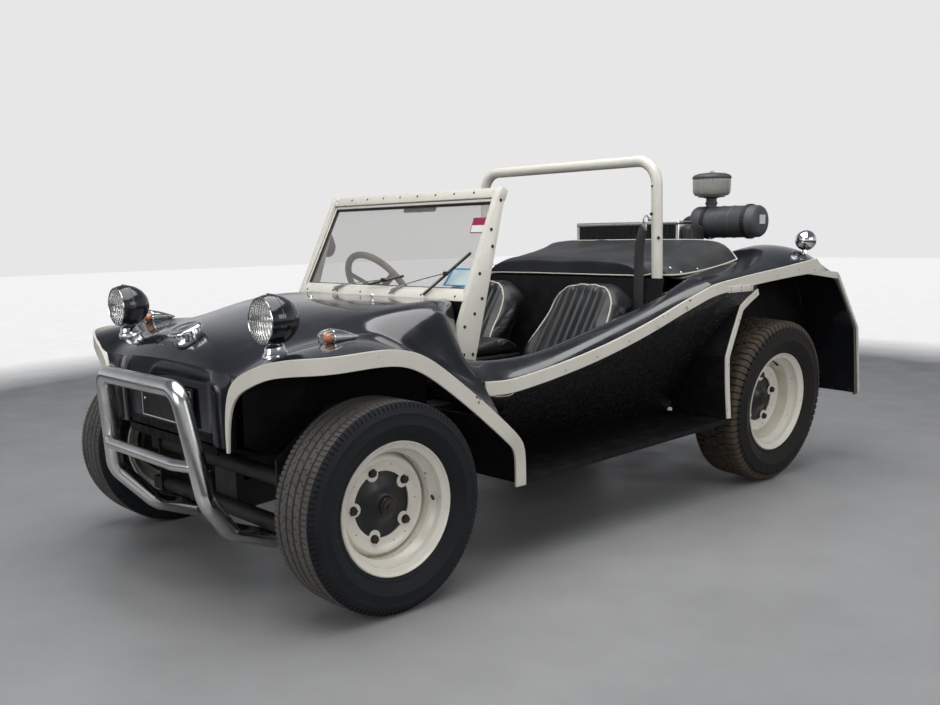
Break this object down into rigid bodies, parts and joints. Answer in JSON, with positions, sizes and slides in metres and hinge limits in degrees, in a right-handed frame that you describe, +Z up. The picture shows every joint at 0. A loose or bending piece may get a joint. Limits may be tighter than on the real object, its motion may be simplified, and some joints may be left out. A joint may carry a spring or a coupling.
{
  "type": "dune buggy",
  "caption": "Open two-seat dune buggy on a shortened floor pan, with cycle-style fenders, a flat screen, a roll hoop, tube guards and an open rear engine with an upright radiator.",
  "frame": {"origin": "on the ground, under the middle of the length and width", "axes": "+X to the car's left, +Y to its rear, +Z up; the car faces -Y"},
  "size_m": [1.5662, 3.254, 1.36],
  "materials": {
    "body_black": "gloss black glass fibre",
    "rough_black": "rough-laid black glass fibre",
    "cream": "cream paint, chipped",
    "chassis_black": "satin black paint",
    "steel": "polished stainless tube",
    "chrome": "chrome",
    "glass": "clear glass",
    "vinyl": "black vinyl",
    "cloth": "black cover cloth",
    "rubber": "black rubber",
    "tyre": "black tyre",
    "engine": "dull cast aluminium",
    "grey": "grey enamel",
    "rusty": "heat-browned iron",
    "clear_plastic": "clear moulded bowl",
    "tan": "tan wrapped rim"
  },
  "bodies": {
    "vehicle": {"front_skin": "body_black", "nose_bay": "body_black", "side_rails": "body_black", "side_panels": "rough_black", "running_boards": "chassis_black", "rear_fenders": "body_black", "mudguards": "body_black", "edge_bands": "cream", "floor_pan": "chassis_black", "inner_walls": "chassis_black", "screen_frame": "cream", "screen_glass": "glass", "wipers": "chassis_black", "mirrors": "chassis_black", "headlamps": "body_black", "headlamp_rims": "chrome", "headlamp_lenses": "glass", "small_lamps": "chrome", "fuel_cap": "chrome", "guard_bars": "steel", "roll_bar": "cream", "belts": "cloth", "seat_cushions": "vinyl", "seat_backs": "vinyl", "seat_bases": "chassis_black", "centre_pad": "vinyl", "dashboard": "vinyl", "levers": "chassis_black", "steering_column": "chassis_black", "axle_beam": "chassis_black", "shocks": "chassis_black", "rear_axle": "engine", "engine": "engine", "exhaust": "rusty", "radiator": "chassis_black", "hoses": "rubber", "air_cleaner": "grey", "pre_cleaner": "clear_plastic", "cover": "cloth"},
    "steering_wheel": {"steering_wheel": "tan"},
    "left_knuckle": {"knuckle_left": "chassis_black"},
    "right_knuckle": {"knuckle_right": "chassis_black"},
    "cross_rod": {"track_rod": "chassis_black"},
    "front_left_wheel": {"front_tyre_left": "tyre", "front_rim_left": "cream", "front_drum_left": "chassis_black"},
    "front_right_wheel": {"front_tyre_right": "tyre", "front_rim_right": "cream", "front_drum_right": "chassis_black"},
    "rear_left_wheel": {"rear_tyre_left": "tyre", "rear_rim_left": "cream", "rear_drum_left": "chassis_black"},
    "rear_right_wheel": {"rear_tyre_right": "tyre", "rear_rim_right": "cream", "rear_drum_right": "chassis_black"}
  },
  "joints": [
    {"name": "steering_turn", "type": "hinge", "parent": "vehicle", "child": "steering_wheel", "pos_m": [-0.29, -0.44, 0.85], "axis": [0, 0.848, 0.5299], "range_deg": [-392, 392]},
    {"name": "left_steer", "type": "hinge", "parent": "vehicle", "child": "left_knuckle", "pos_m": [0.53, -1.2, 0.3085], "axis": [0, 0, 1], "range_deg": [-28.1, 28.1]},
    {"name": "right_steer", "type": "hinge", "parent": "vehicle", "child": "right_knuckle", "pos_m": [-0.53, -1.2, 0.3085], "axis": [0, 0, 1], "range_deg": [-28.1, 28.1]},
    {"name": "cross_rod_slide", "type": "slide", "parent": "vehicle", "child": "cross_rod", "axis": [1, 0, 0], "range_m": [-0.0392, 0.0392]},
    {"name": "front_left_spin", "type": "hinge", "parent": "left_knuckle", "child": "front_left_wheel", "pos_m": [0.6826, -1.2, 0.3085], "axis": [1, 0, 0], "continuous": true},
    {"name": "front_right_spin", "type": "hinge", "parent": "right_knuckle", "child": "front_right_wheel", "pos_m": [-0.6826, -1.2, 0.3085], "axis": [1, 0, 0], "continuous": true},
    {"name": "rear_left_spin", "type": "hinge", "parent": "vehicle", "child": "rear_left_wheel", "pos_m": [0.611, 0.895, 0.34788], "axis": [0.9976, 0, -0.0698], "continuous": true},
    {"name": "rear_right_spin", "type": "hinge", "parent": "vehicle", "child": "rear_right_wheel", "pos_m": [-0.611, 0.895, 0.34788], "axis": [0.9976, 0, 0.0698], "continuous": true}
  ],
  "couplings": [
    {"joint": "left_steer", "follows": "steering_turn", "ratio": 0.071429},
    {"joint": "right_steer", "follows": "steering_turn", "ratio": 0.071429},
    {"joint": "cross_rod_slide", "follows": "steering_turn", "m_per_rad": 0.0057143}
  ]
}
